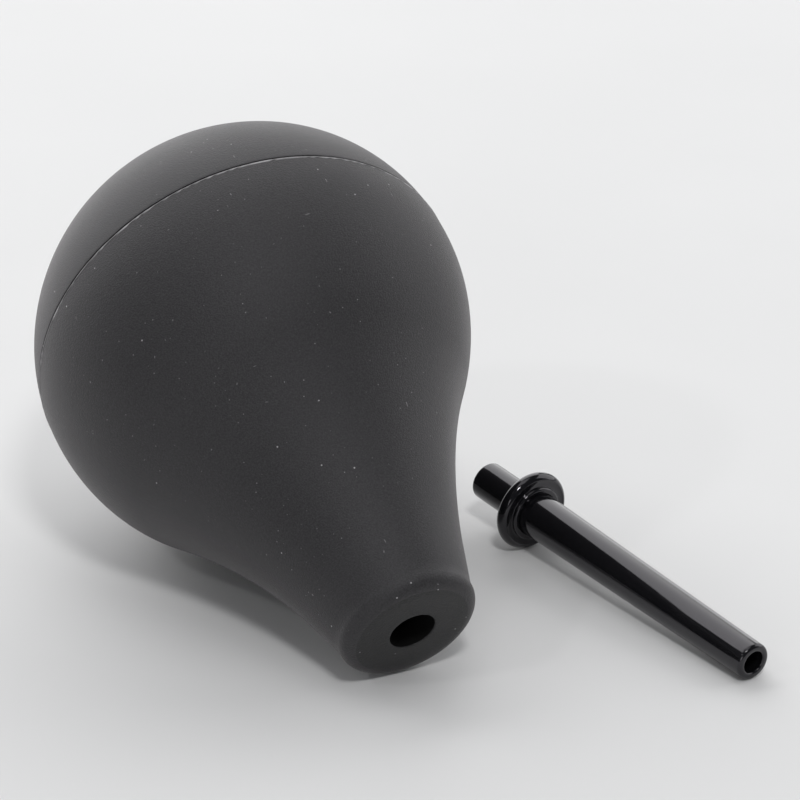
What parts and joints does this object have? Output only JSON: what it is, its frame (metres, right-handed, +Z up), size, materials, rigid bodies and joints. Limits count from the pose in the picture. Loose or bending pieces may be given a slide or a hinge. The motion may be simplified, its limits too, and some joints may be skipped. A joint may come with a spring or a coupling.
{
  "type": "pipette filler bulb",
  "caption": "Pear-shaped rubber squeeze bulb with one round mouth hole, lying beside its tapered push-in nozzle with a round collar.",
  "frame": {"origin": "on the table, below the middle of the box round the bulb and its nozzle", "axes": "+Z up from the table; -Y the way the bulb's mouth points, along the longest side of the box; +X from the bulb to the nozzle"},
  "size_m": [0.1048, 0.1376, 0.0858],
  "materials": {
    "bulb_rubber": "matte, fine moulded grain",
    "nozzle_plastic": "polished gloss"
  },
  "bodies": {
    "rear": {"bulb_rear_shell": "bulb_rubber"},
    "front": {"bulb_front_shell": "bulb_rubber"},
    "nozzle": {"nozzle_tube": "nozzle_plastic", "nozzle_collar": "nozzle_plastic"}
  },
  "joints": [
    {"name": "squeeze", "type": "slide", "parent": "rear", "child": "front", "axis": [0, 0.9099, 0.4149], "range_m": [0, 0.02], "stiffness_N_per_m": 1000, "deforming": ["bulb_front_shell"]},
    {"name": "nozzle_push", "type": "slide", "parent": "rear", "child": "nozzle", "axis": [-0.175, 0.9823, 0.0663], "range_m": [0, 0.0125]}
  ]
}
